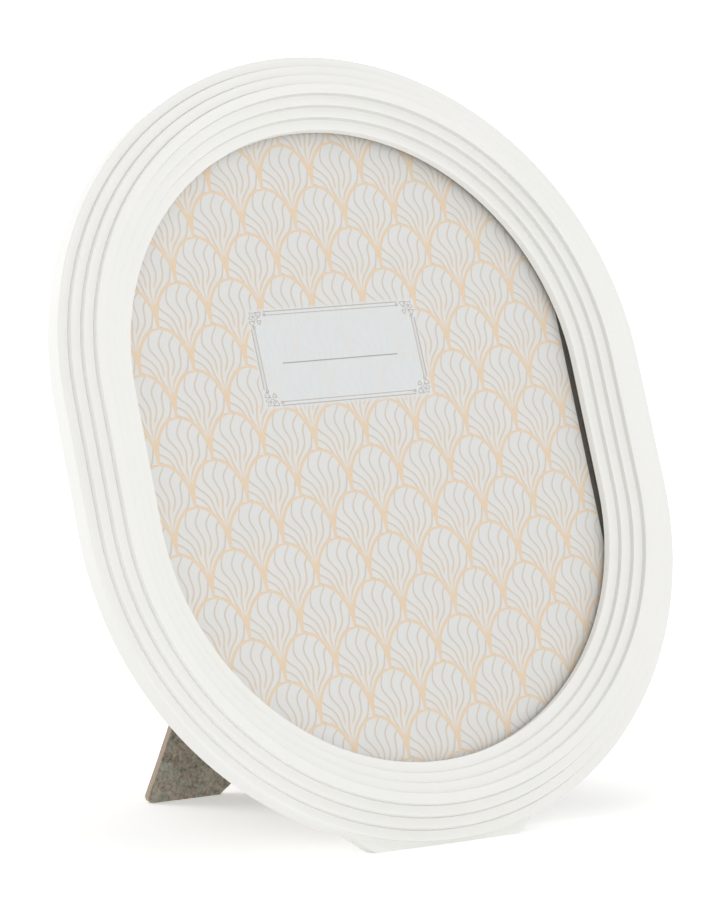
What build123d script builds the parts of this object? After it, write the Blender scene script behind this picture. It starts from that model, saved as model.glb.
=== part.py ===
from build123d import *
import os
from math import atan2, cos, degrees, radians, sin, sqrt, tan

# Oval picture frame for a 203 x 254 mm print, standing on its foot and an easel leg.
# Millimetres. X runs to the viewer's right, Y to the back, Z up.
# The origin is the middle of the foot's base, and z = 0 is the table.
#
# The frame is first drawn lying on its back: x across it, y up it, z towards the viewer,
# with z = 0 at the back of the moulding. A last step leans it back on the table.

# Print and opening
print_width = 203.2
print_height = 254.0
print_thickness = 0.3
print_trim = 0.6
print_side = 96.1
lip_cover = 4.6

# Moulding: bands that step up from the side wall to the crown and down to the opening
band_width = 4.2
steps_each_side = 3
step_rise = 2.0
outer_draft = 0.35
inner_draft = 0.5
quirk_width = 0.25
quirk_depth = 0.35
side_height = 9.0
lip_thickness = 3.8
rebate_clearance = 0.5
front_round = 0.7
back_round = 0.3
step_round = 0.45
lip_round = 0.3

# Foot
foot_width = 62.0
foot_flare = 9.0
foot_flank = 6.8
foot_blend = 7.5
foot_thickness = 4.0
foot_shift = -2.8
foot_drop = 1.8
foot_recess = 2.0
foot_root = 14.0
lean_angle = 21.5

# Glass and backing board
seat_clearance = 0.1
glass_thickness = 2.0
board_thickness = 2.5
board_round = 0.3

# Turn buttons and their screws
button_length = 18.0
button_width = 9.0
button_thickness = 1.0
button_round = 0.2
screw_inset = 17.4
side_button_angle = 21.0
screw_radius = 1.5
screw_head_radius = 3.2
screw_head_height = 1.2
screw_grip = 6.5
screw_slot_width = 0.8
screw_slot_depth = 0.5
pivot_clearance = 0.08
fixed_clearance = 0.04
head_clearance = 0.15

# Hinge of the easel leg
hinge_height_share = 0.737
leg_opening = 28.5
leaf_thickness = 0.8
leaf_width = 30.0
leaf_length = 17.0
leaf_corner = 3.0
leaf_gap = 0.3
knuckle_radius = 1.7
middle_knuckle = 10.0
knuckle_gap = 0.25
pin_radius = 1.0
pin_head_radius = 1.6
pin_head_height = 0.7
rivet_radius = 1.25
rivet_head_radius = 2.5
rivet_head_height = 0.7
rivet_tail_radius = 2.1
rivet_tail_height = 0.4
rivet_spacing = 18.0
rivet_edge = 5.0

# Easel leg
leg_thickness = 3.0
leg_top_width = 40.0
leg_foot_width = 128.6
leg_side_sag = 6.4
leg_top_gap = 3.6
leg_top_corner = 6.0
leg_foot_corner = 2.5
leg_arch_width = 64.4
leg_arch_rise = 13.0
leg_arch_corner = 1.0

# Stay ribbon between the board and the leg
ribbon_width = 10.0
ribbon_thickness = 0.5
ribbon_tab = 9.0
ribbon_board_share = 0.622
ribbon_leg_share = 0.551

# How far a cutter runs past what it cuts
overrun = 5.0

# Sizes that follow from those above
straight_half = (print_height - print_width) / 2
print_radius = print_width / 2
opening_radius = print_radius - lip_cover
rebate_radius = print_radius + rebate_clearance
band_count = 2 * steps_each_side + 1
outer_radius = opening_radius + band_count * band_width
lip_level = side_height - lip_thickness
glass_front = lip_level - seat_clearance
glass_back = glass_front - glass_thickness
print_front = glass_back - seat_clearance
print_back = print_front - print_thickness
board_front = print_back - seat_clearance
board_back = board_front - board_thickness
foot_front = side_height - foot_recess
outer_reach = straight_half + outer_radius

# The table, as a line across the moulding's thickness when it lies on its back
table_slope = tan(radians(lean_angle))
table_at_front = -(outer_reach + foot_drop)
table_at_back = table_at_front + side_height * table_slope
base_middle_z = foot_front / 2
base_middle_y = table_at_back - base_middle_z * table_slope

# The hinge axis: its place, and how far it stands off the board
hinge_height = hinge_height_share * (2 * outer_reach + foot_drop)
axis_z = board_back - fixed_clearance - knuckle_radius
hinge_y = table_at_back + hinge_height
board_face = knuckle_radius + fixed_clearance
ribbon_board_distance = ribbon_board_share * hinge_height
ribbon_leg_distance = ribbon_leg_share * hinge_height

stand_up = Rotation(90 - lean_angle, 0, 0) * Pos(0, -base_middle_y, -base_middle_z)
at_hinge = Pos(0, hinge_y, axis_z)
open_leg = Rotation(leg_opening, 0, 0)


def oval(radius, z_low, z_high):
    """Solid whose outline is two half circles joined by the frame's straight sides."""
    outline = SlotCenterToCenter(2 * straight_half, 2 * radius, rotation=90)
    return Pos(0, 0, z_low) * extrude(outline, z_high - z_low)


def rounded(solid, radius, z_level):
    """Round the edges of a plate's face that lies at one height."""
    edges = solid.edges().filter_by(lambda edge: abs(edge.center().Z - z_level) < radius / 10)
    return fillet(edges, radius)


def section_outline():
    """Half of the frame's cross-section, as radius and height, from the outside in."""
    corners = [(outer_radius, 0), (outer_radius, side_height)]
    rounds = {0: back_round, 1: front_round}
    for step in range(1, steps_each_side + 1):
        level = side_height + (step - 1) * step_rise
        foot = outer_radius - step * band_width + outer_draft / 2
        corners += [(foot + quirk_width, level), (foot, level - quirk_depth)]
        rounds[len(corners)] = step_round
        corners += [(foot - outer_draft, level + step_rise)]
    for step in range(steps_each_side, 0, -1):
        level = side_height + (step - 1) * step_rise
        foot = opening_radius + step * band_width - inner_draft / 2
        rounds[len(corners)] = step_round
        corners += [(foot + inner_draft, level + step_rise), (foot, level)]
    rounds[len(corners)] = step_round
    corners += [(opening_radius, side_height)]
    rounds[len(corners)] = lip_round
    corners += [(opening_radius, lip_level)]
    corners += [(rebate_radius, lip_level), (rebate_radius, 0)]
    return corners, rounds


def moulding_section():
    """The cross-section as a face standing on the XZ plane, with its rounded corners."""
    corners, rounds = section_outline()
    face = make_face(Polyline([(x, 0, z) for x, z in corners], close=True)).face()
    for index, radius in rounds.items():
        x, z = corners[index]
        corner = face.vertices().sort_by_distance((x, 0, z))[0]
        face = face.fillet_2d(radius, [corner])
    return face


def frame_moulding():
    """Stepped ring with its rebate, fused to the foot and trimmed flat where it stands."""
    section = moulding_section()
    end = Pos(0, straight_half, 0) * revolve(section, Axis.Z, 180)
    side = extrude(Pos(0, straight_half, 0) * section, 2 * straight_half, dir=(0, -1, 0))
    half = end + side
    ring = half + Rotation(0, 0, 180) * half
    ring += foot_block()
    for x, y, _ in button_places():
        ring -= Pos(x, y, 0) * screw_hole()
    return stand_up * ring - table_block()


def table_block():
    """Block that fills the space below the table's top."""
    size = 4 * outer_reach
    return Box(size, size, size, align=(Align.CENTER, Align.CENTER, Align.MAX))


def foot_flank_corners(side):
    """Corners of one flank, from the table up to where it runs into the ring."""
    low_y = table_at_front + foot_recess * table_slope
    base_x = foot_shift + side * foot_width / 2
    flank_x = base_x + side * foot_flare
    blend_x = flank_x + side * foot_blend
    blend_y = seat_clearance - straight_half - sqrt(outer_radius ** 2 - blend_x ** 2)
    return [(base_x, low_y), (flank_x, low_y + foot_flank), (blend_x, blend_y), (base_x, low_y + foot_root)]


def foot_block():
    """Flared tongue under the ring, behind its front edge and a little left of its middle."""
    corners = foot_flank_corners(1) + foot_flank_corners(-1)[::-1]
    tongue = extrude(make_face(Polyline(corners, close=True)), foot_thickness, dir=(0, 0, 1))
    return Pos(0, 0, foot_front - foot_thickness) * tongue


def glass_pane():
    """Flat pane behind the lip."""
    return stand_up * oval(print_radius, glass_back, glass_front)


def insert_print():
    """Paper sheet behind the glass, cut a little short at its right side."""
    size = 2 * print_height
    spare = Pos(print_side, 0, 0) * Box(size, size, size, align=(Align.MIN, Align.CENTER, Align.CENTER))
    return stand_up * (oval(print_radius - print_trim, print_back, print_front) - spare)


def backing_board():
    """Velour-covered board that fills the rebate, drilled for the rivets."""
    board = rounded(oval(print_radius, board_back, board_front), board_round, board_back)
    for x, y in [*fixed_rivet_places(), (0, -ribbon_board_distance)]:
        hole = Cylinder(rivet_radius + fixed_clearance, board_thickness + 2 * overrun)
        board -= at_hinge * Pos(x, y, board_face + board_thickness / 2) * hole
    return stand_up * board


def button_places():
    """Centre of each turn button's screw and the turn that points the button inwards."""
    pivot_radius = outer_radius - screw_inset
    places = []
    for angle in (side_button_angle, 90, 180 - side_button_angle):
        for half_turn in (0, 180):
            x = pivot_radius * cos(radians(angle))
            y = straight_half + pivot_radius * sin(radians(angle))
            sign = 1 if half_turn == 0 else -1
            places.append((sign * x, sign * y, angle + half_turn + 90))
    return places


def screw_hole():
    """Pilot hole in the moulding's back."""
    return Cylinder(screw_radius + fixed_clearance, 2 * screw_grip)


def turn_button(x, y, turn):
    """Stamped steel tongue with a round hole for its screw."""
    low = -seat_clearance - button_thickness
    tongue = SlotCenterToCenter(button_length - button_width, button_width, rotation=90)
    shift = (button_length - button_width) / 2
    blank = extrude(Pos(0, shift) * tongue, button_thickness)
    blank = rounded(blank, button_round, 0)
    blank -= Cylinder(screw_radius + pivot_clearance, 4 * button_thickness)
    return stand_up * Pos(x, y, low) * Rotation(0, 0, turn) * blank


def button_screws():
    """Slotted round-head screws, one through each turn button."""
    head_low = -seat_clearance - button_thickness - head_clearance
    solids = []
    for x, y, turn in button_places():
        reach = screw_grip - head_low
        shank = Cylinder(screw_radius, reach, align=(Align.CENTER, Align.CENTER, Align.MIN))
        head = Cylinder(screw_head_radius, screw_head_height, align=(Align.CENTER, Align.CENTER, Align.MAX))
        head = fillet(head.faces().sort_by(Axis.Z)[0].edges(), screw_head_height / 2)
        slot = Box(3 * screw_head_radius, screw_slot_width, 2 * screw_slot_depth)
        screw = shank + head - Pos(0, 0, -screw_head_height) * slot
        solids.append(stand_up * Pos(x, y, head_low) * Rotation(0, 0, 2 * turn) * screw)
    return Compound(children=solids)


def leaf_plate(z_low, towards):
    """Rounded plate of one leaf, starting at the hinge axis and running up or down the board."""
    outline = RectangleRounded(leaf_width, leaf_length + leaf_corner, leaf_corner)
    middle = towards * (leaf_length - leaf_corner) / 2
    plate = extrude(Pos(0, middle) * outline, leaf_thickness)
    spare = Box(2 * leaf_width, leaf_length, 2 * leaf_thickness)
    return Pos(0, 0, z_low) * (plate - Pos(0, -towards * leaf_length / 2) * spare)


def knuckle(start, end):
    """Length of rolled barrel round the hinge axis."""
    return Pos((start + end) / 2, 0, 0) * Rotation(0, 90, 0) * Cylinder(knuckle_radius, end - start)


def knuckle_clearance(start, end):
    """Room that one leaf leaves for the other leaf's barrel."""
    size = 2 * (knuckle_radius + leaf_gap)
    return Pos((start + end) / 2, 0, 0) * Box(end - start, size, 2 * size)


def pin_bore(clearance):
    """Cutter for the bore along the hinge axis."""
    return Rotation(0, 90, 0) * Cylinder(pin_radius + clearance, 2 * leaf_width)


def rivet_places(towards):
    """Two rivet holes in a leaf, side by side."""
    y = towards * (leaf_length - rivet_edge)
    return [(-rivet_spacing / 2, y), (rivet_spacing / 2, y)]


def fixed_rivet_places():
    """Rivets of the leaf on the board, above the axis."""
    return rivet_places(1)


def moving_rivet_places():
    """Rivets of the leaf on the leg, below the axis."""
    return rivet_places(-1)


def rivet_cutter(x, y):
    """Hole for a rivet's shank."""
    return Pos(x, y, 0) * Cylinder(rivet_radius + fixed_clearance, 2 * leg_thickness + 2 * overrun)


def hinge_leaf_fixed():
    """Leaf on the backing board, with the two outer knuckles."""
    edge = leaf_width / 2
    inner = middle_knuckle / 2 + knuckle_gap
    leaf = leaf_plate(knuckle_radius - leaf_thickness, 1)
    leaf += knuckle(-edge, -inner) + knuckle(inner, edge)
    leaf -= knuckle_clearance(-inner, inner)
    leaf -= pin_bore(fixed_clearance)
    for x, y in fixed_rivet_places():
        leaf -= rivet_cutter(x, y)
    return stand_up * at_hinge * leaf


def hinge_leaf_moving():
    """Leaf on the leg, with the middle knuckle."""
    edge = leaf_width / 2 + overrun
    inner = middle_knuckle / 2
    leaf = leaf_plate(-leaf_thickness / 2, -1)
    leaf -= knuckle_clearance(-edge, -inner) + knuckle_clearance(inner, edge)
    leaf += knuckle(-inner, inner)
    leaf -= pin_bore(pivot_clearance)
    for x, y in moving_rivet_places():
        leaf -= rivet_cutter(x, y)
    return stand_up * at_hinge * open_leg * leaf


def hinge_pin():
    """Headed pin through all three knuckles."""
    half = leaf_width / 2 + knuckle_gap
    pin = Rotation(0, 90, 0) * Cylinder(pin_radius, 2 * half)
    head = Rotation(0, 90, 0) * Cylinder(pin_head_radius, pin_head_height)
    for side in (-1, 1):
        pin += Pos(side * (half + pin_head_height / 2), 0, 0) * head
    return stand_up * at_hinge * pin


def rivet(x, y, head_face, tail_face, head_towards):
    """Rivet with a domed head on one face and a low rolled tail in the other."""
    length = abs(tail_face - head_face)
    shank = Pos(0, 0, (head_face + tail_face) / 2) * Cylinder(rivet_radius, length)
    head = Cylinder(rivet_head_radius, rivet_head_height)
    edges = head.faces().sort_by(Axis.Z)[-1 if head_towards > 0 else 0].edges()
    head = fillet(edges, rivet_head_height / 2)
    body = shank + Pos(0, 0, head_face + head_towards * rivet_head_height / 2) * head
    return Pos(x, y, 0) * body


def rolled_tail(x, y, face, towards):
    """Rolled end of a rivet that stands on a face."""
    return Pos(x, y, face + towards * rivet_tail_height / 2) * Cylinder(rivet_tail_radius, rivet_tail_height)


def hinge_rivets_fixed():
    """Rivets through the fixed leaf and the board, flush at the board's front."""
    head_face = knuckle_radius - leaf_thickness - fixed_clearance
    tail_face = board_face + board_thickness
    rivets = [rivet(x, y, head_face, tail_face, -1) for x, y in fixed_rivet_places()]
    return Compound(children=[stand_up * at_hinge * one for one in rivets])


def hinge_rivets_moving():
    """Rivets through the moving leaf and the leg, rolled over on the leg's outer face."""
    head_face = leaf_thickness / 2 + fixed_clearance
    outer_face = leg_inner_face() - leg_thickness - fixed_clearance
    solids = []
    for x, y in moving_rivet_places():
        one = rivet(x, y, head_face, outer_face, 1) + rolled_tail(x, y, outer_face, -1)
        solids.append(stand_up * at_hinge * open_leg * one)
    return Compound(children=solids)


def leg_inner_face():
    """Height of the leg's inner face over the hinge axis while the leg is folded."""
    return -leaf_thickness / 2 - fixed_clearance


def leg_length():
    """Length from the hinge axis to the table along the opened leg's outer face."""
    lean = radians(lean_angle)
    stance = radians(leg_opening - lean_angle)
    axis_height = hinge_height * cos(lean) + axis_z * sin(lean)
    outer_face = leg_inner_face() - leg_thickness
    return (axis_height - outer_face * sin(stance)) / cos(stance)


def leg_outline():
    """Flared outline with hollow sides and an arch that leaves two pads at the foot."""
    top, bottom = -leg_top_gap, -leg_length()
    half_top, half_foot, half_arch = leg_top_width / 2, leg_foot_width / 2, leg_arch_width / 2
    side_middle = ((half_top + half_foot) / 2 - leg_side_sag, (top + bottom) / 2)
    mirrored = (-side_middle[0], side_middle[1])
    lines = [
        Line((-half_top, top), (half_top, top)),
        ThreePointArc((half_top, top), side_middle, (half_foot, bottom)),
        Line((half_foot, bottom), (half_arch, bottom)),
        ThreePointArc((half_arch, bottom), (0, bottom + leg_arch_rise), (-half_arch, bottom)),
        Line((-half_arch, bottom), (-half_foot, bottom)),
        ThreePointArc((-half_foot, bottom), mirrored, (-half_top, top)),
    ]
    outline = make_face(lines).face()
    for x, y, radius in (
        (half_top, top, leg_top_corner), (half_foot, bottom, leg_foot_corner), (half_arch, bottom, leg_arch_corner),
    ):
        for side in (-1, 1):
            corner = outline.vertices().sort_by_distance((side * x, y, 0))[0]
            outline = outline.fillet_2d(radius, [corner])
    return outline


def leg_board():
    """Velour-covered board of the leg; its pads are cut level with the table when it is open."""
    plate = extrude(leg_outline(), leg_thickness, dir=(0, 0, 1))
    plate = Pos(0, 0, leg_inner_face() - leg_thickness) * plate
    for x, y in [*moving_rivet_places(), (0, -ribbon_leg_distance)]:
        plate -= rivet_cutter(x, y)
    return stand_up * at_hinge * open_leg * plate - table_block()


def ribbon_path():
    """Middle line of the ribbon beside the hinge: tab on the board, free span, tab on the leg."""
    on_board = board_face - fixed_clearance - ribbon_thickness / 2
    on_leg = leg_inner_face() + fixed_clearance + ribbon_thickness / 2
    opening = radians(leg_opening)

    def opened(y, z):
        return (y * cos(opening) - z * sin(opening), y * sin(opening) + z * cos(opening))

    start = (-ribbon_board_distance - ribbon_tab / 2, on_board)
    leave_board = (-ribbon_board_distance + ribbon_tab / 2, on_board)
    meet_leg = opened(-ribbon_leg_distance - ribbon_tab / 2, on_leg)
    end = opened(-ribbon_leg_distance + ribbon_tab / 2, on_leg)
    return [start, leave_board, meet_leg, end]


def stay_ribbon():
    """Flat ribbon that is tight when the leg is open."""
    path = ribbon_path()
    half = ribbon_thickness / 2
    band = None
    for (y1, z1), (y2, z2) in zip(path, path[1:]):
        run = sqrt((y2 - y1)**2 + (z2 - z1)**2)
        piece = Box(ribbon_width, run, ribbon_thickness)
        turn = degrees(atan2(z2 - z1, y2 - y1))
        piece = Pos(0, (y1 + y2) / 2, (z1 + z2) / 2) * Rotation(turn, 0, 0) * piece
        band = piece if band is None else band + piece
    for y, z in path[1:-1]:
        band += Pos(0, y, z) * Rotation(0, 90, 0) * Cylinder(half, ribbon_width)
    hole = Cylinder(rivet_radius + fixed_clearance, 2 * overrun)
    band -= Pos(0, -ribbon_board_distance, board_face) * hole
    band -= open_leg * Pos(0, -ribbon_leg_distance, leg_inner_face()) * hole
    return stand_up * at_hinge * band


def stay_rivet_board():
    """Rivet that holds the ribbon on the backing board."""
    head_face = board_face - ribbon_thickness - 2 * fixed_clearance
    one = rivet(0, -ribbon_board_distance, head_face, board_face + board_thickness, -1)
    return stand_up * at_hinge * one


def stay_rivet_leg():
    """Rivet that holds the ribbon on the leg."""
    y = -ribbon_leg_distance
    head_face = leg_inner_face() + ribbon_thickness + 2 * fixed_clearance
    outer_face = leg_inner_face() - leg_thickness - fixed_clearance
    one = rivet(0, y, head_face, outer_face, 1) + rolled_tail(0, y, outer_face, -1)
    return stand_up * at_hinge * open_leg * one


def write(name, shape):
    """Save one piece as its own file."""
    export_step(shape, f"parts/{name}.step")


os.makedirs("parts", exist_ok=True)
write("frame_moulding", frame_moulding())
write("glass_pane", glass_pane())
write("insert_print", insert_print())
write("backing_board", backing_board())
for number, place in enumerate(button_places(), start=1):
    write(f"turn_button_{number}", turn_button(*place))
write("button_screws", button_screws())
write("hinge_leaf_fixed", hinge_leaf_fixed())
write("hinge_leaf_moving", hinge_leaf_moving())
write("hinge_pin", hinge_pin())
write("hinge_rivets_fixed", hinge_rivets_fixed())
write("hinge_rivets_moving", hinge_rivets_moving())
write("leg_board", leg_board())
write("stay_ribbon", stay_ribbon())
write("stay_rivet_board", stay_rivet_board())
write("stay_rivet_leg", stay_rivet_leg())
print("hinge axis at", (stand_up * at_hinge).position, "leg length", leg_length())
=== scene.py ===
# %% [markdown]
# # An oval picture frame in the studio
# The frame on the desk is a cast and painted oval ring that steps up from its outer edge
# to a broad crown and steps down again to the opening. Behind its lip sit a glass pane,
# a printed sheet and a velour covered board. A hinged leg at the back and a small flat
# foot in front hold it up, leaning back a little.
#
# The solids were made before, in metres, and come in here with their places already right.
# This lesson gives each of them its finish, and models by hand the one piece whose look
# needs more than a plain solid, a ribbon. Every cell makes one thing and prints what it made.

# %% The frame comes in
from math import atan2, cos, degrees, pi, radians, sin

import bpy
from mathutils import Matrix, Vector


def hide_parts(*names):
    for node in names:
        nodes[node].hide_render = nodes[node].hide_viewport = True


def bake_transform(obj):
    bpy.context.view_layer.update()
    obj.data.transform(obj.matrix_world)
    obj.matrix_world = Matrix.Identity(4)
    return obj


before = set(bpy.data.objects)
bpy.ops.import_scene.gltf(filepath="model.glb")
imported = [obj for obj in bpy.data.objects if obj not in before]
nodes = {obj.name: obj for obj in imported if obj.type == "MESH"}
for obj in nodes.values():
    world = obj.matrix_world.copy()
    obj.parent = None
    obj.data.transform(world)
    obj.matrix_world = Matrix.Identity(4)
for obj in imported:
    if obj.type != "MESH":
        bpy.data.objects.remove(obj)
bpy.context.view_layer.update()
bpy.ops.object.select_all(action="DESELECT")

# %% [markdown]
# ## The leaning plane
# The frame leans back 21.5 degrees, so nothing on it is level. It is easier to think in the
# frame's own directions: across, up along the frame, and out towards the viewer. These are
# measured from the middle of the ring and from the back of the moulding. `lean` turns such
# a place into one in the room, where the middle of the foot's base is the zero point.
# Both are in metres.

# %% Across, up and out
millimetre = 0.001
lean_angle = radians(21.5)
base_middle = Vector((0, -151.433, 3.5)) * millimetre
lean = Matrix.Rotation(pi / 2 - lean_angle, 4, "X") @ Matrix.Translation(-base_middle)
ring_middle = lean @ Vector((0, 0, 0))
out_of_frame = (lean.to_3x3() @ Vector((0, 0, 1))).normalized()
print("middle of the ring:", tuple(ring_middle), "the front looks towards", tuple(out_of_frame))

# %% [markdown]
# ## The camera
# The picture was taken from the left, a little above the table, with a long lens: the two
# sides of the oval hardly narrow with distance. The place and the focal length come from
# fitting the outlines of the ring's steps to the picture. A long lens from a metre and a
# half away keeps these flat proportions, which a wide lens nearby would spoil.

# %% Camera
camera_place = Vector((-0.7952, -1.22144, 0.33094))
looking = Vector((0.5227, 0.8431, -0.1268))
focal_length = 161.9
film_width = 36.0
farthest_seen = 100.0

camera_data = bpy.data.cameras.new("camera")
camera = bpy.data.objects.new("camera", camera_data)
bpy.context.scene.collection.objects.link(camera)
camera.location = camera_place
camera.rotation_mode = "QUATERNION"
camera.rotation_quaternion = looking.to_track_quat("-Z", "Y")
camera_data.lens = focal_length
camera_data.sensor_width = film_width
camera_data.clip_end = farthest_seen
bpy.context.scene.camera = camera
print("camera is", round((ring_middle - camera_place).length, 3), "m from the ring")

# %% [markdown]
# ## Writing a finish as sums
# A finish is a small network of nodes, and most of its nodes only add, multiply or compare
# numbers. The class `Number` wraps one socket, so that `1 - mask` or `rib * width` writes
# the Math nodes by itself.

# %% A socket that can do sums
class Number:
    """A number that changes over the surface, held by one socket of a node."""

    def __init__(self, finish, socket):
        self.finish = finish
        self.socket = socket

    def sum(self, kind, *others):
        return self.finish.node("ShaderNodeMath", {"operation": kind}, self, *others)

    def __add__(self, other):
        return self.sum("ADD", other)

    def __sub__(self, other):
        return self.sum("SUBTRACT", other)

    def __mul__(self, other):
        return self.sum("MULTIPLY", other)

    def __truediv__(self, other):
        return self.sum("DIVIDE", other)

    def __pow__(self, other):
        return self.sum("POWER", other)

    def __rsub__(self, other):
        return self.finish.node("ShaderNodeMath", {"operation": "SUBTRACT"}, other, self)

    __radd__ = __add__
    __rmul__ = __mul__

    def size(self):
        """The number without its sign."""
        return self.sum("ABSOLUTE")

    def floor(self):
        return self.sum("FLOOR")

    def part(self):
        """What is left over the whole number below."""
        return self.sum("FRACT")

    def root(self):
        return self.sum("SQRT")

    def above(self, limit, softness):
        """0 under the limit and 1 over it, with a soft change."""
        settings = {"interpolation_type": "SMOOTHSTEP"}
        low, high = limit - softness, limit + softness
        return self.finish.node("ShaderNodeMapRange", settings, self, low, high, 0.0, 1.0)

    def below(self, limit, softness):
        """1 under the limit and 0 over it, with a soft change."""
        return 1 - self.above(limit, softness)


print("a number can be added, multiplied and compared")

# %% [markdown]
# ## A material's network
# `Finish` holds the network of one material, or of the room's light. Its `node` method makes
# any kind of node: first its settings, then what goes into its sockets, by their order or
# by their names. Some nodes have sockets for numbers, colours and vectors side by side, and
# a setting says which of them count, so only those in use are filled by their order. The
# other methods are the few groups of nodes that come back again and again: a place on the
# piece, noise, a mix of two colours, a bump and the last shader.

# %% A finish
pure_white = (1, 1, 1, 1)


def in_use(sockets):
    """The sockets that count under a node's present settings."""
    return [socket for socket in sockets if socket.enabled]


class Finish:
    """A material, or the room's light, whose network is written as sums."""

    def __init__(self, name, holder=None):
        self.material = holder or bpy.data.materials.new(name)
        self.material.use_nodes = True
        self.tree = self.material.node_tree
        self.tree.nodes.clear()

    def node(self, kind, settings=None, *inputs, out=None, **named):
        """Make a node, set it up, fill its sockets and give back one of its outputs."""
        made = self.tree.nodes.new(kind)
        for setting, value in (settings or {}).items():
            setattr(made, setting, value)
        for socket, value in zip(in_use(made.inputs), inputs):
            self.fill(socket, value)
        for name, value in named.items():
            self.fill(made.inputs[name.replace("_", " ")], value)
        results = in_use(made.outputs)
        return Number(self, made.outputs[out] if out else results[0]) if results else None

    def fill(self, socket, value):
        """Link a number to a socket, or set the socket to a constant."""
        if isinstance(value, Number):
            self.tree.links.new(value.socket, socket)
        else:
            socket.default_value = value

    def place(self):
        """The piece's own coordinates, in metres."""
        return self.node("ShaderNodeTexCoord", out="Object")

    def lying(self):
        """Across, up and out in the frame's own directions, as three numbers in millimetres."""
        turned = self.node(
            "ShaderNodeMapping", {}, self.place(), Location=base_middle / millimetre,
            Rotation=(lean_angle - pi / 2, 0, 0), Scale=(1 / millimetre,) * 3)
        return self.three(turned)

    def three(self, vector):
        """The three numbers of a place."""
        return [self.node("ShaderNodeSeparateXYZ", {}, vector, out=axis) for axis in "XYZ"]

    def along(self, vector, direction):
        """How far a vector reaches along a direction."""
        return self.node("ShaderNodeVectorMath", {"operation": "DOT_PRODUCT"}, vector, direction)

    def stretched(self, vector, scale):
        return self.node("ShaderNodeMapping", {}, vector, Scale=scale)

    def noise(self, where, scale, detail=3.0, roughness=0.55):
        sockets = {"Vector": where, "Scale": scale, "Detail": detail, "Roughness": roughness}
        return self.node("ShaderNodeTexNoise", {}, **sockets)

    def mix(self, share, first, second):
        """Blend two colours."""
        return self.node("ShaderNodeMix", {"data_type": "RGBA"}, share, first, second)

    def bump(self, height, depth, strength):
        return self.node("ShaderNodeBump", {}, Height=height, Distance=depth, Strength=strength)

    def glow(self, strength):
        return self.node("ShaderNodeEmission", {}, Color=pure_white, Strength=strength)

    def both(self, first, second):
        """Two shaders added up."""
        return self.node("ShaderNodeAddShader", {}, first, second)

    def either(self, share, first, second):
        """A mix of two shaders."""
        return self.node("ShaderNodeMixShader", {}, share, first, second)

    def seen(self):
        """1 for what the camera sees, also in a mirror or through glass, and 0 for other light."""
        rays = ("Is Camera Ray", "Is Glossy Ray", "Is Transmission Ray")
        straight, mirrored, through = [self.node("ShaderNodeLightPath", out=ray) for ray in rays]
        return straight.sum("MAXIMUM", mirrored.sum("MAXIMUM", through))

    def end_in(self, shader):
        self.node("ShaderNodeOutputMaterial", {}, Surface=shader)

    def surface(self, **sockets):
        """End the network in the shader for painted, printed, woven and metal surfaces."""
        self.end_in(self.node("ShaderNodeBsdfPrincipled", {}, **sockets))


print("a finish can make:", ", ".join(name for name in vars(Finish) if name[0] != "_"))

# %% [markdown]
# ## Colours, and who wears them
# A colour is written as it is read off a screen, from 0 to 255, and made linear for the
# shader. The solids come in with plain materials, and `wear` gives them a finish instead.

# %% Colours and wearers
def colour(red, green, blue):
    """A colour as it is read off a screen, from 0 to 255, made linear for the shader."""
    linear = []
    for value in (red, green, blue):
        share = value / 255
        linear.append(share / 12.92 if share <= 0.04045 else ((share + 0.055) / 1.055) ** 2.4)
    return (*linear, 1)


def wear(finish, *names):
    """Give solids a finish in place of the plain material they came with."""
    for name in names:
        for slot in nodes[name].material_slots:
            slot.material = finish.material
    print(finish.material.name, "on", ", ".join(names))


print("half grey is", round(colour(128, 128, 128)[0], 3), "when it is linear")

# %% [markdown]
# ## The table
# The frame stands on a white table in a white room, and both run out to plain white in the
# picture. The table is one very large plane, so that it also looks endless from other sides.
# It is ordinary white paint with a faint glow of its own, which throws some light up under
# the steps at the bottom of the ring. The camera, mirrors and glass see more of a glow, which
# lifts the bare table to white and leaves the soft shadow under the frame. Far from the frame,
# where the lamps hardly reach, that glow is stronger, so that the table fades into the room.

# %% Table
table_width = 60
thrown_glow = 0.12
near_glow, far_glow = 0.28, 1.0
glow_change, glow_softness = 1.2, 1.0

bpy.ops.mesh.primitive_plane_add(size=table_width, location=(0, 0, 0))
table = bpy.context.active_object
table.name = "table"

table_white = Finish("table_white")
lit = table_white.node("ShaderNodeBsdfDiffuse", {}, Color=colour(246, 246, 245))
distance = table_white.node("ShaderNodeVectorMath", {"operation": "LENGTH"}, table_white.place())
far = distance.above(glow_change, glow_softness)
seen_glow = table_white.either(far, table_white.glow(near_glow), table_white.glow(far_glow))
table_as_light = table_white.both(lit, table_white.glow(thrown_glow))
table_as_seen = table_white.both(lit, seen_glow)
table_white.end_in(table_white.either(table_white.seen(), table_as_light, table_as_seen))
table.data.materials.append(table_white.material)
print("table is", round(table.dimensions.x), "m wide")

# %% [markdown]
# ## The room
# The room is nothing but light from all round. What it throws on the frame is well under
# white, because the lamps add to it, and what the camera sees behind the frame is white.

# %% Room
room_light = 0.62
room_seen = 1.0

bpy.context.scene.world = bpy.data.worlds.new("room")
room = Finish("room", bpy.context.scene.world)
room_as_light = room.node("ShaderNodeBackground", {}, Color=pure_white, Strength=room_light)
room_as_seen = room.node("ShaderNodeBackground", {}, Color=pure_white, Strength=room_seen)
walls = room.either(room.seen(), room_as_light, room_as_seen)
room.node("ShaderNodeOutputWorld", {}, Surface=walls)
print("room gives", room_light, "of white from all round")

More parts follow.
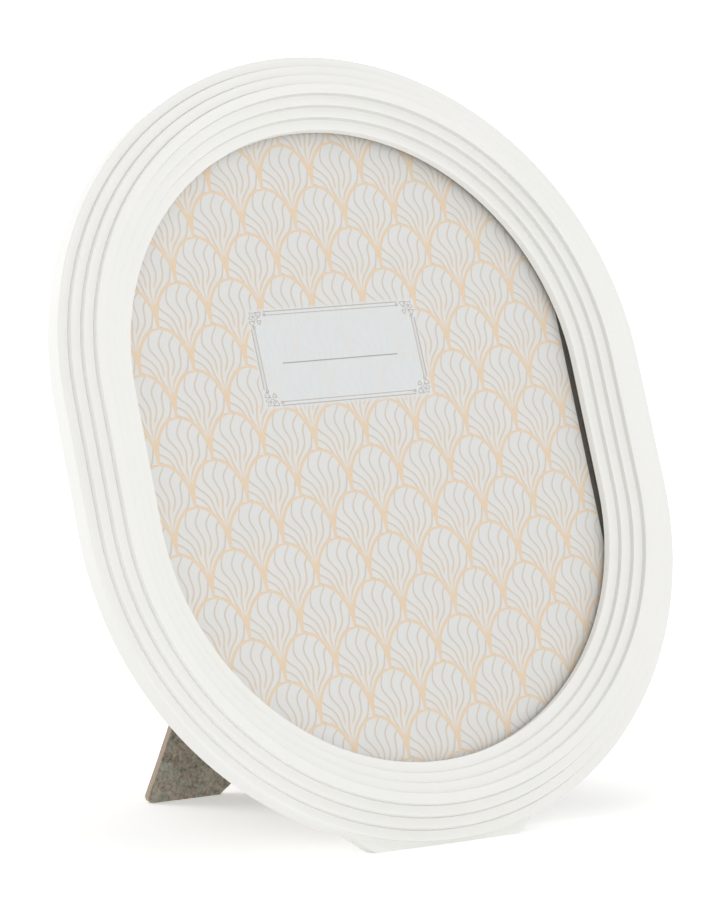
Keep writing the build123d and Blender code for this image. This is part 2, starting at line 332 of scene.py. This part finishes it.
# %% [markdown]
# ## Lamps
# The picture looks as if it was taken in a tent of white cloth: light comes from everywhere,
# and no shadow has an edge. The room's own light does most of that. Soft boxes, which are
# large area lamps, add what is left. One stands low behind the camera and fills the faces of
# the steps, and one behind the frame on the left keeps the side wall and the leg bright.
# Weaker ones stand above and on the right. None of them is where the glass would mirror it
# to the camera.

# %% Soft boxes
def soft_box(name, place, side, power):
    """A square lamp that looks at the middle of the ring."""
    data = bpy.data.lights.new(name, "AREA")
    data.shape = "SQUARE"
    data.size = side
    data.energy = power
    lamp = bpy.data.objects.new(name, data)
    bpy.context.scene.collection.objects.link(lamp)
    lamp.location = place
    lamp.rotation_mode = "QUATERNION"
    lamp.rotation_quaternion = (ring_middle - lamp.location).to_track_quat("-Z", "Y")
    print(name, "at", tuple(place), "with", power, "W")


soft_box("front_lamp", place=(-0.6, -2.2, 0.4), side=1.0, power=12.5)
soft_box("right_lamp", place=(1.9, -0.5, 1.5), side=1.0, power=6.7)
soft_box("top_lamp", place=(0, -0.2, 2.3), side=1.2, power=4)
soft_box("back_lamp", place=(-1.3, 1.6, 1.3), side=1.2, power=19)

# %% [markdown]
# ## Round the ring
# The ring is two half circles joined by short straight sides, so all its outlines keep an
# even distance from one short line, the one between the centres of the two half circles.
# `ring_radius` is that distance. It lets a finish tell the ring's bands apart, and its
# opening from the rest.

# %% The ring's radius
straight_half = 25.4


def ring_radius(across, up):
    """Distance from the line between the ring's two centres, in millimetres."""
    beyond_straight = (up.size() - straight_half).sum("MAXIMUM", 0)
    return (across ** 2 + beyond_straight ** 2).root()


print("the ring's two centres are", 2 * straight_half, "mm apart")

# %% [markdown]
# ## Painted moulding
# The ring is a resin casting with a satin paint. A sprayed coat isn't perfectly even: it has
# a faint orange peel, and here and there it is a touch glossier. Noise at two scales gives
# both, the fine one as bump and the broad one as a small change of roughness and colour.
# The faces of the inner steps look greyer than the bands between them, because shade falls on
# them, so they get a painted shade: the coat is coloured a little darker there. A surface
# belongs to them where it turns away from the front of the frame and its radius lies between
# one on the lowest band and one on the crown. The back of the ring turns away from the front
# as well, so it gets the same painted shade between these two radii. At the bottom of the
# ring the picture shows the crown plain, so the painted shade fades out there.

# %% Satin paint
lowest_band, crown = 98.5, 111.0
band_softness = 0.3
turned_away, turned_softness = 0.45, 0.15
fading_height, fading_softness = -100, 30
coat_scale, peel_scale = 18, 900
peel_depth, peel_strength = 0.00006, 0.5
paint_rough, paint_patchy = 0.40, 0.12
paint_ior = 1.45

paint = Finish("satin_white_paint")
where = paint.place()
across, up, _ = paint.lying()
radius = ring_radius(across, up)
facing = paint.along(paint.node("ShaderNodeNewGeometry", out="Normal"), out_of_frame)
inner_bands = radius.above(lowest_band, band_softness) * radius.below(crown, band_softness)
# Painted shade: step faces, and the back between these radii, are coloured darker for their shade.
painted_step_shade = facing.below(turned_away, turned_softness) * inner_bands
painted_step_shade = painted_step_shade * up.above(fading_height, fading_softness)
broad = paint.noise(where, coat_scale, detail=2)
fine = paint.noise(where, peel_scale)
sprayed = paint.mix(broad, colour(238, 238, 234), colour(244, 243, 240))
tone = paint.mix(painted_step_shade, sprayed, colour(222, 222, 217))
rough = paint_rough + paint_patchy * broad
peel = paint.bump(fine, peel_depth, peel_strength)
paint.surface(Base_Color=tone, Roughness=rough, Normal=peel, IOR=paint_ior)
wear(paint, "frame_moulding")

# %% [markdown]
# ## Clear glass
# A real pane lets nearly all light through and throws a little back, more at a flat angle.
# Glass that bends light would keep the lamps from reaching the sheet behind it, and the
# render would be dark and noisy there. So the pane is a mix: see-through where the Fresnel
# share is low, and a sharp mirror where it is high. A flat pane hardly shifts what is behind.
# On its way out a ray meets the far face from inside, where the same node would block slanted
# light, so the inside of each face is left out.

# %% Glass pane
glass_ior = 1.5
glass_rough = 0.02

glass = Finish("clear_glass")
outside = 1 - glass.node("ShaderNodeNewGeometry", out="Backfacing")
thrown_back = glass.node("ShaderNodeFresnel", {}, IOR=glass_ior) * outside
clear = glass.node("ShaderNodeBsdfTransparent", {}, Color=colour(254, 254, 254))
shine = glass.node("ShaderNodeBsdfAnisotropic", {}, Color=pure_white, Roughness=glass_rough)
glass.end_in(glass.either(thrown_back, clear, shine))
wear(glass, "glass_pane")

# %% [markdown]
# ## The printed sheet: a shell pattern
# The sheet behind the glass carries an old pattern that is found on cloth and tiles in many
# countries: rows of fish scales, each filled with the ribs of a shell. It needs no picture.
# Every point on the paper first finds its row, and then whether it lies inside one of that
# row's domes or in the gap above them, where the next row's scale comes down to its tip.
# `sideways` and `upwards` are its place in that scale, measured from the scale's root.
# Millimetres keep the numbers easy to read. The sheet lies a little askew, so the pattern
# is turned a little too.

# %% Which scale a point lies in
scale_width = 22.5
row_pitch = 17.0
sheet_turn = 0.016
dome_softness = 0.002

ink = Finish("printed_paper")
level_across, level_up, _ = ink.lying()
across = level_across + level_up * sheet_turn
up = level_up - level_across * sheet_turn
row = (up / row_pitch).floor()
rise = (up / row_pitch).part()
column = across / scale_width + (row * 0.5).part()
in_dome = (column.part() - 0.5) * 2
in_gap = ((column + 0.5).part() - 0.5) * 2
reach = (in_dome ** 2 + rise ** 2).root()
inside = reach.below(1.0, dome_softness)
sideways = (in_gap + inside * (in_dome - in_gap)) * (scale_width / 2)
upwards = (rise + inside - 0.5) * row_pitch
print("scales are", scale_width, "mm wide in rows", row_pitch, "mm apart")

# %% [markdown]
# ## The printed sheet: outlines and ribs
# The distance to the dome's edge draws the outline: how far the reach is from 1, divided by
# how fast it grows there. The angle from the scale's root draws the ribs, one each time it
# has grown by `rib_turn`, and a slow wave along them keeps them from being straight. They are
# thin at the root and again at the tips, and every second rib starts only some way out.

# %% Outlines and ribs
outline_half, outline_softness = 0.62, 0.16
rib_turn = 0.225
sway, sway_rate = 0.07, 0.42
rib_half, rib_softness = 0.47, 0.14
tip_thinning = 0.007
root_thinning, root_reach = 0.34, 3.0
short_start, short_softness = 6.5, 2.5
stem_half, stem_softness = 0.5, 0.16
stem_top, stem_fading = 0.5, 0.4

growth = ((in_dome / (scale_width / 2)) ** 2 + (rise / row_pitch) ** 2).root()
from_edge = (reach - 1).size() * reach / growth
outline = from_edge.below(outline_half, outline_softness)
from_root = (sideways ** 2 + upwards ** 2).root()
turned = sideways.sum("ARCTAN2", upwards) + (from_root * sway_rate).sum("SINE") * sway
rib_number = (turned / rib_turn + 0.5).floor()
from_rib = (turned / rib_turn - rib_number).size() * rib_turn * from_root
is_short = (rib_number * 0.5).part() * 2
rib_width = rib_half - from_root * tip_thinning
rib_width = rib_width - from_root.below(root_reach, root_reach) * root_thinning
rib_width = rib_width - is_short * from_root.below(short_start, short_softness)
rib = (from_rib - rib_width).below(0.0, rib_softness)
stem = sideways.size().below(stem_half, stem_softness) * upwards.below(stem_top, stem_fading)
print("a rib every", round(degrees(rib_turn), 1), "degrees")

# %% [markdown]
# ## The printed sheet: the small panel
# A small panel with a ruled border marks the place where a title would go. It stays bare but
# for one line. Its border is a double rule, hatched at the sides, with a few small flowers
# in each corner. Folding the panel's four corners onto one with an absolute value means that
# the corner is drawn only once.

# %% Panel
panel_across, panel_up = -3.9, 36.1
panel_half_width, panel_half_height = 36.0, 18.2
panel_edge, panel_softness = -0.9, 1.1
pen_softness = 0.1
outer_rule_half, inner_rule_half = 0.15, 0.12
inner_rule_inset = 1.4
hatch_pitch, hatch_slant, hatch_share = 0.9, 0.4, 0.16
hatch_inset, hatch_half, hatch_cover = 0.7, 0.6, 0.6
corner_length, corner_softness = 6.4, 0.3
line_drop, line_half = 2.1, 0.2
line_shift, line_half_length = 0.3, 25.3

beside_panel = across - panel_across
over_panel = up - panel_up
from_side = panel_half_width - beside_panel.size()
from_top = panel_half_height - over_panel.size()
within = from_side.sum("MINIMUM", from_top)
panel = within.above(panel_edge, panel_softness)
outer_rule = within.size().below(outer_rule_half, pen_softness)
inner_rule = (within - inner_rule_inset).size().below(inner_rule_half, pen_softness)
slanted = (up + across * hatch_slant) / hatch_pitch
hatch = (slanted.part() - 0.5).size().below(hatch_share, pen_softness)
hatched = hatch * (from_side - hatch_inset).size().below(hatch_half, pen_softness) * hatch_cover
past_corner = from_side.sum("MAXIMUM", from_top).above(corner_length, corner_softness)
border = (outer_rule + inner_rule + hatched) * past_corner
line_across = (beside_panel + line_shift).size().below(line_half_length, pen_softness)
line = (over_panel + line_drop).size().below(line_half, pen_softness) * line_across
print("panel is", 2 * panel_half_width, "by", 2 * panel_half_height, "mm")

# %% [markdown]
# ## The printed sheet: flowers in the corners
# A flower is a circle whose radius grows and shrinks a few times on the way round. The
# largest sits nearest the corner and has a small ring in its middle. A smaller one lies
# further in, and one more, with a ring beyond it, follows each of the two sides.

# %% Flowers
petal_share = 0.28
petal_pen_half, petal_softness = 0.16, 0.12


def flower(side, top, size, petals=0):
    """The outline of a small flower near each corner of the panel, or a ring without petals."""
    right, over = from_side - side, from_top - top
    away = (right ** 2 + over ** 2).root() - size
    if petals:
        away = away - (right.sum("ARCTAN2", over) * petals).sum("COSINE") * (petal_share * size)
    return away.size().below(petal_pen_half, petal_softness)


flowers = flower(side=1.7, top=1.7, size=1.5, petals=5) + flower(side=1.7, top=1.7, size=0.4)
flowers = flowers + flower(side=3.9, top=3.9, size=0.7, petals=3)
for side, top in ((0.8, 4.2), (4.2, 0.8)):
    flowers = flowers + flower(side, top, size=0.9, petals=3)
    flowers = flowers + flower(side * 1.6, top * 1.4, size=0.45)
drawn = (border + flowers).sum("MINIMUM", 1.0)
print("petals grow and shrink by", petal_share, "of a flower's size")

# %% [markdown]
# ## The printed sheet: paper and ink
# The outlines are a pale apricot. The ribs start in the same colour at the root and turn to
# a warm grey towards their tips. The paper is a cool light grey, a little cloudy, and its
# fibres are a very fine bump. Under the lip on the right, where the picture shows the sheet
# in the shade of the ring, it is a little darker.

# %% Paper and ink
cloud_scale, fibre_scale, panel_scale = 60, 2500, 220
fibre_depth, fibre_strength = 0.00002, 0.4
paper_rough, paper_patchy = 0.62, 0.1
tip_distance = 17
panel_cover, drawn_cover, shade_cover = 0.88, 0.8, 0.5
shade_radius, shade_softness = 98, 7
shade_across, shade_growth = 20, 45

where = ink.place()
cloudy = ink.noise(where, cloud_scale)
fibres = ink.noise(where, fibre_scale, detail=2)
apricot = colour(233, 211, 183)
ground = ink.mix(cloudy, colour(226, 226, 224), colour(231, 230, 228))
towards_tip = (from_root / tip_distance).sum("MINIMUM", 1.0)
rib_tone = ink.mix(towards_tip, apricot, colour(215, 205, 191))
sheet = ink.mix(rib, ground, rib_tone)
sheet = ink.mix(outline.sum("MAXIMUM", stem), sheet, apricot)
panel_ground = ink.mix(ink.noise(where, panel_scale), colour(225, 229, 230), colour(231, 234, 234))
sheet = ink.mix(panel * panel_cover, sheet, panel_ground)
sheet = ink.mix(drawn * drawn_cover, sheet, colour(166, 142, 130))
sheet = ink.mix(line, sheet, colour(158, 158, 162))
near_lip = ring_radius(across, up).above(shade_radius, shade_softness)
shaded = near_lip * across.above(shade_across, shade_growth)
sheet = ink.mix(shaded * shade_cover, sheet, colour(120, 112, 98))
rough = paper_rough + paper_patchy * cloudy
paper_bump = ink.bump(fibres, fibre_depth, fibre_strength)
ink.surface(Base_Color=sheet, Roughness=rough, Normal=paper_bump)
wear(ink, "insert_print")

# %% [markdown]
# ## Velour board
# Both boards at the back are pressed fibre, covered on their faces with flocked paper: very
# short fibres that stand up and catch the light. Up close the flock is a mottle of olive and
# brown, and where the board is cut, its pale core shows as a thin strip. The shader finds
# the core by height: anywhere further in from a face than the skin is thick, it is bare.
# The front of the backing board, which only the slit beside the sheet shows, is bare board, and
# its colour is made darker still as painted shade for the deep gap under the lip. A little
# sheen, the light that velvet gives at its edges, does the rest.

# %% Flocked faces and cut edges
skin = 0.35
skin_softness = 0.12
patch_scale, tint_scale, tuft_scale, hair_scale, layer_scale = 110, 380, 620, 2600, 900
hair_stretch, layer_stretch = (1, 1, 0.35), (0.3, 1, 2)
mottle_contrast, tint_contrast = 3.6, 4
nap_depth, nap_strength = 0.0004, 0.8
velour_rough, velour_patchy = 0.85, 0.1
velour_sheen, sheen_rough = 0.25, 0.5


def spread(number, contrast):
    """Push a noise away from its middle."""
    return (number - 0.5) * contrast + 0.5


def board_finish(name, normal, middle, thickness, front_is_bare_and_shaded):
    """Velour with a bare core at its cut edges; the normal stands on the board's middle plane."""
    velour = Finish(name)
    where = velour.place()
    patches = velour.noise(where, patch_scale, detail=4, roughness=0.6)
    tufts = velour.noise(where, tuft_scale, detail=4, roughness=0.65)
    hairs = velour.noise(velour.stretched(where, hair_stretch), hair_scale, detail=2, roughness=0.6)
    tint = spread(velour.noise(where, tint_scale, detail=2, roughness=0.5), tint_contrast)
    mottle = spread(patches * 0.25 + tufts * 0.55 + hairs * 0.2, mottle_contrast)
    dark = velour.mix(tint, colour(96, 97, 84), colour(102, 88, 77))
    light = velour.mix(tint, colour(184, 186, 171), colour(194, 178, 162))
    flock = velour.mix(mottle, dark, light)
    height = (velour.along(where, normal) - middle.dot(normal)) / millimetre
    core = thickness / 2 - skin
    layers = velour.noise(velour.stretched(where, layer_stretch), layer_scale)
    cut_tone = velour.mix(layers, colour(158, 136, 118), colour(188, 166, 146))
    tone = velour.mix(height.size().below(core, skin_softness), flock, cut_tone)
    if front_is_bare_and_shaded:
        # Bare board, with its colour darkened as painted shade for the gap under the lip.
        bare_and_shaded_tone = velour.mix(layers, colour(60, 55, 47), colour(84, 76, 66))
        tone = velour.mix(height.above(core, skin_softness), tone, bare_and_shaded_tone)
    rough = velour_rough + velour_patchy * patches
    nap = velour.bump(tufts * 0.6 + hairs * 0.4, nap_depth, nap_strength)
    sheen = {"Sheen_Weight": velour_sheen, "Sheen_Roughness": sheen_rough}
    velour.surface(Base_Color=tone, Roughness=rough, Normal=nap, **sheen)
    return velour


print("velour has a core", skin, "mm under its faces")

# %% [markdown]
# ## The two boards
# The backing board lies in the frame's own plane, and its middle plane is `board_height`
# over the back of the moulding. The leg stands open by 28.5 degrees, so its plane turns with
# it round the hinge. Its near face is `leg_offset` behind the hinge's axis.

# %% Boards
hinge_place = Vector((0, 87.780, 208.817)) * millimetre
leg_opening = radians(28.5)
leg_normal = Vector((0, cos(leg_opening - lean_angle), sin(leg_opening - lean_angle)))
leg_offset, leg_thickness = 0.44, 3.0
board_height, board_thickness = 1.35, 2.5

leg_middle = hinge_place + leg_normal * (leg_offset + leg_thickness / 2) * millimetre
board_middle = lean @ (Vector((0, 0, board_height)) * millimetre)
wear(board_finish("velour_leg", leg_normal, leg_middle, leg_thickness, False), "leg_board")
wear(board_finish("velour_back", out_of_frame, board_middle, board_thickness, True), "backing_board")

# %% [markdown]
# ## Steel fittings
# The hinge, its rivets, the turn buttons and the screws are thin steel with a nickel coat.
# Rolled sheet keeps a fine grain in one direction, which noise gives when it is stretched
# along that direction. Handling leaves faint dull patches, so the roughness changes a little
# from place to place. Screws and rivets are turned and pressed, and have no grain.

# %% Nickel, rolled and turned
grain_scale, dull_scale = 4200, 260
grain_depth, grain_strength = 0.00001, 0.35
dull_patchy, dull_grainy = 0.12, 0.08
no_stretch, drawn_out = (1, 1, 1), (0.04, 1, 1)
button_nodes = [f"turn_button_{number}" for number in range(1, 7)]
rivet_nodes = ["hinge_rivets_fixed", "hinge_rivets_moving", "stay_rivet_board", "stay_rivet_leg"]


def nickel(name, stretch, dark, light, least_rough):
    """Coated steel; a low stretch along one axis draws the grain out along it."""
    steel = Finish(name)
    where = steel.place()
    grain = steel.noise(steel.stretched(where, stretch), grain_scale)
    patches = steel.noise(where, dull_scale)
    tone = steel.mix(patches, dark, light)
    rough = least_rough + dull_patchy * patches + dull_grainy * grain
    relief = steel.bump(grain, grain_depth, grain_strength)
    steel.surface(Base_Color=tone, Metallic=1.0, Roughness=rough, Normal=relief)
    return steel


rolled = nickel("rolled_nickel", drawn_out, colour(176, 172, 165), colour(203, 200, 194), least_rough=0.24)
turned = nickel("turned_nickel", no_stretch, colour(186, 182, 176), colour(214, 211, 206), least_rough=0.18)
wear(rolled, "hinge_leaf_fixed", "hinge_leaf_moving", *button_nodes)
wear(turned, "hinge_pin", *rivet_nodes, "button_screws")

# %% [markdown]
# ## The stay ribbon: its line
# A woven ribbon between the board and the leg stops the leg from sliding out. It leaves the
# board flat, crosses over in a soft double curve, and lies flat on the leg again. The line
# is found from the hinge. From the board to the leg it comes a few millimetres nearer to the
# hinge, and a point that has done some share of that way lies on a ray from the hinge that
# has turned by the smooth step of the share. All of this is seen from the side, in
# millimetres round the hinge, with x up along the frame and y out towards the viewer.

# %% The ribbon's middle line
ribbon_width = 10.0
ribbon_thickness = 0.4
ribbon_tab = 9.0
board_distance, leg_distance = 140.0, 124.02
board_level, leg_level = 1.50, -0.20
tab_steps, crossing_steps = 6, 60


def opened(down, level):
    """A place on the leg after the leg has opened."""
    return Vector((
        -down * cos(leg_opening) - level * sin(leg_opening),
        -down * sin(leg_opening) + level * cos(leg_opening)))


def steps_between(first, last, count):
    """Evenly spaced points, without the last one."""
    return [first + (last - first) * index / count for index in range(count)]


board_tab = [Vector((-board_distance - side * ribbon_tab / 2, board_level)) for side in (1, -1)]
leg_tab = [opened(leg_distance + side * ribbon_tab / 2, leg_level) for side in (1, -1)]
leave_board, meet_leg = board_tab[1], leg_tab[0]
first_turn = atan2(-leave_board.y, -leave_board.x)
last_turn = atan2(-meet_leg.y, -meet_leg.x)
middle_turn = (first_turn + last_turn) / 2
inwards = Vector((cos(middle_turn), sin(middle_turn)))
first_reach, last_reach = -leave_board.dot(inwards), -meet_leg.dot(inwards)


def crossing(share):
    """A point of the crossing: its ray turns smoothly while it comes nearer evenly."""
    turn = first_turn + (last_turn - first_turn) * share * share * (3 - 2 * share)
    reach = first_reach + (last_reach - first_reach) * share
    return Vector((-cos(turn), -sin(turn))) * reach / cos(turn - middle_turn)


line_points = steps_between(*board_tab, tab_steps)
line_points += [crossing(index / crossing_steps) for index in range(crossing_steps)]
line_points += steps_between(*leg_tab, tab_steps) + [leg_tab[1]]
lengths = [0.0]
for before, after in zip(line_points, line_points[1:]):
    lengths.append(lengths[-1] + (after - before).length)
ribbon_length = lengths[-1]
print("ribbon is", round(ribbon_length, 1), "mm long with its two tabs")

# %% [markdown]
# ## The stay ribbon: its cloth
# The ribbon starts as a flat grid with a row for each point of the line. Each row moves to
# its point, so the cloth is bent across its length and stays straight across its width. Its
# UV map keeps the true lengths, so that the weave isn't stretched.

# %% Ribbon
ribbon_columns = 10
smooth_below = radians(40)
last_row = len(line_points) - 1
up_frame = lean.to_3x3() @ Vector((0, 1, 0))


def beside_hinge(point, sideways):
    """From the side view round the hinge to a place in the room."""
    from_hinge = up_frame * point.x + out_of_frame * point.y + Vector((sideways, 0, 0))
    return hinge_place + from_hinge * millimetre


bpy.ops.object.select_all(action="DESELECT")
bpy.ops.mesh.primitive_grid_add(x_subdivisions=ribbon_columns, y_subdivisions=last_row, size=1)
ribbon = bpy.context.active_object
ribbon.name = "stay_ribbon_cloth"
for corner in ribbon.data.uv_layers[0].data:
    corner.uv = (corner.uv.x, lengths[round(corner.uv.y * last_row)] / ribbon_length)
for vertex in ribbon.data.vertices:
    row_point = line_points[round((vertex.co.y + 0.5) * last_row)]
    vertex.co = beside_hinge(row_point, vertex.co.x * ribbon_width)
bpy.ops.object.shade_smooth_by_angle(angle=smooth_below)
print("ribbon cloth has", len(ribbon.data.polygons), "faces")

# %% [markdown]
# ## The stay ribbon: satin
# Satin is mostly long threads along the ribbon, with the cross threads hardly showing. The
# two edges are woven tighter and stay plain. The colour is a dark brown that goes with the
# velour, and the threads are a fine bump. They follow the cloth's UV map, so that they bend
# with it.

# %% Satin weave
warp_pitch, weft_pitch = 0.32, 0.45
warp_share, weft_share = 0.75, 0.25
thread_share, uneven_share = 0.7, 0.3
selvedge, selvedge_softness = 0.07, 0.01
uneven_scale = 700
thread_depth, thread_strength = 0.00006, 0.7
thread_rough, gap_rough = 0.42, 0.25
satin_sheen = 0.3

satin = Finish("satin_ribbon")
woven = satin.node("ShaderNodeUVMap", {"uv_map": ribbon.data.uv_layers[0].name})
width_share, length_share, _ = satin.three(woven)
warp = ((width_share * ribbon_width / warp_pitch).part() - 0.5).size() * 2
weft = ((length_share * ribbon_length / weft_pitch).part() - 0.5).size() * 2
thread = (1 - warp ** 2) * warp_share + (1 - weft ** 2) * weft_share
from_border = 0.5 - (width_share - 0.5).size()
uneven = satin.noise(satin.place(), uneven_scale)
# Painted shade: each thread is lighter along its crest and darker towards the gaps; noise varies the tone
# at random.
thread_shade_and_uneven_tone = thread * thread_share + uneven * uneven_share
tone = satin.mix(thread_shade_and_uneven_tone, colour(42, 37, 33), colour(88, 80, 72))
tone = satin.mix(from_border.below(selvedge, selvedge_softness), tone, colour(58, 52, 46))
rough = thread_rough + gap_rough * (1 - thread)
threads = satin.bump(thread, thread_depth, thread_strength)
satin.surface(Base_Color=tone, Roughness=rough, Normal=threads, Sheen_Weight=satin_sheen)
ribbon.data.materials.clear()
ribbon.data.materials.append(satin.material)
print("warp threads every", warp_pitch, "mm and weft threads every", weft_pitch, "mm")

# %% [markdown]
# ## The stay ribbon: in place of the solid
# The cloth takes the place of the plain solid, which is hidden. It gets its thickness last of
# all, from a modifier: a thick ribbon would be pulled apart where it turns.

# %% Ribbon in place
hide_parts("stay_ribbon")
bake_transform(ribbon)
thicken = ribbon.modifiers.new("thickness", "SOLIDIFY")
thicken.thickness = ribbon_thickness * millimetre
thicken.offset = 0.0
print("ribbon is", ribbon_thickness, "mm thick")

# %% [markdown]
# ## The end
# The finished scene still has the size that the solids came with, and colours go to the
# screen without a film look.

# %% Colours on screen
bpy.context.scene.view_settings.view_transform = "Standard"
